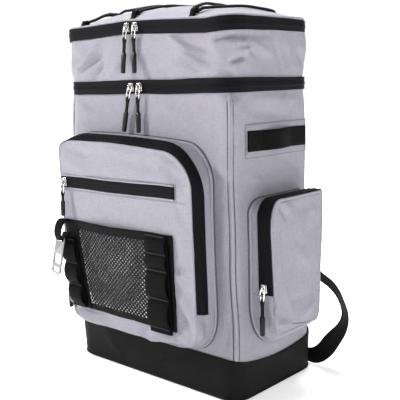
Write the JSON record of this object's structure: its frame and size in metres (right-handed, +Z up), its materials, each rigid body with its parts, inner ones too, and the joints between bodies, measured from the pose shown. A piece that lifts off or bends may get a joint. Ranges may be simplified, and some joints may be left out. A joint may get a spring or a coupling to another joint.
{
  "type": "cooler backpack",
  "caption": "Insulated box backpack with a zipped main compartment, a zipped upper compartment under a domed lid, a front pocket with a net pocket, side pockets and padded shoulder straps.",
  "frame": {"origin": "middle of the bounding box in plan, at the bottom of the base, which stands on the ground", "axes": "+Z up; -Y is the front with the large pocket, +Y the back with the shoulder straps; +X is to the right as seen from the front"},
  "size_m": [0.4236, 0.3038, 0.5173],
  "materials": {
    "grey_cloth": "pale grey polyester cloth with a fine cross weave, dull",
    "black_cloth": "coated black polyester cloth, dull",
    "padded_cloth": "black cloth over foam padding, dull",
    "zip_tape": "woven zip tape, faint sheen",
    "black_webbing": "ribbed nylon webbing and binding tape, faint sheen",
    "black_net": "knitted diamond net, dull",
    "elastic_cord": "braided elastic cord, dull",
    "black_rubber": "moulded zip pulls, satin",
    "black_plastic": "moulded buckle and cord lock, satin",
    "nickel": "plated zip sliders, bright",
    "steel": "brushed flat steel"
  },
  "bodies": {
    "root": {"body_shell": "grey_cloth", "upper_shell": "grey_cloth", "lid_panel": "grey_cloth", "corner_welt_right": "grey_cloth", "corner_welt_left": "grey_cloth", "front_pocket_shell": "grey_cloth", "front_pocket_piping": "grey_cloth", "side_pocket_shell_right": "grey_cloth", "side_pocket_shell_left": "grey_cloth", "side_pocket_piping_right": "grey_cloth", "side_pocket_piping_left": "grey_cloth", "handle_patch_right": "grey_cloth", "handle_patch_left": "grey_cloth", "main_zip_band": "zip_tape", "top_zip_band": "zip_tape", "front_pocket_zip": "zip_tape", "slot_zip": "zip_tape", "side_pocket_zip_right": "zip_tape", "side_pocket_zip_left": "zip_tape", "main_slider_left": "nickel", "main_slider_right": "nickel", "top_slider_left": "nickel", "top_slider_right": "nickel", "front_pocket_slider": "nickel", "slot_slider": "nickel", "side_pocket_slider_right": "nickel", "side_pocket_slider_left": "nickel", "main_pull_left": "black_rubber", "main_pull_right": "black_rubber", "top_pull_left": "black_rubber", "top_pull_right": "black_rubber", "front_pocket_pull": "black_rubber", "slot_pull": "black_rubber", "side_pocket_pull_right": "black_rubber", "side_pocket_pull_left": "black_rubber", "daisy_chain_right": "black_webbing", "daisy_chain_left": "black_webbing", "opener_loop": "black_webbing", "handle_webbing_right": "black_webbing", "handle_webbing_left": "black_webbing", "lower_webbing_right": "black_webbing", "lower_webbing_left": "black_webbing", "mesh_binding": "black_webbing", "bungee_tab_front_left": "black_webbing", "bungee_tab_back_left": "black_webbing", "bungee_tab_front_middle": "black_webbing", "bungee_tab_back_right": "black_webbing", "bungee_tab_front_right": "black_webbing", "base_boot": "black_cloth", "mesh_panel": "black_net", "bottle_opener": "steel", "lid_bungee": "elastic_cord", "cord_lock": "black_plastic", "ladder_lock_right": "black_plastic", "ladder_lock_left": "black_plastic", "back_panel": "padded_cloth", "shoulder_strap_right": "padded_cloth", "shoulder_strap_left": "padded_cloth"}
  },
  "joints": []
}
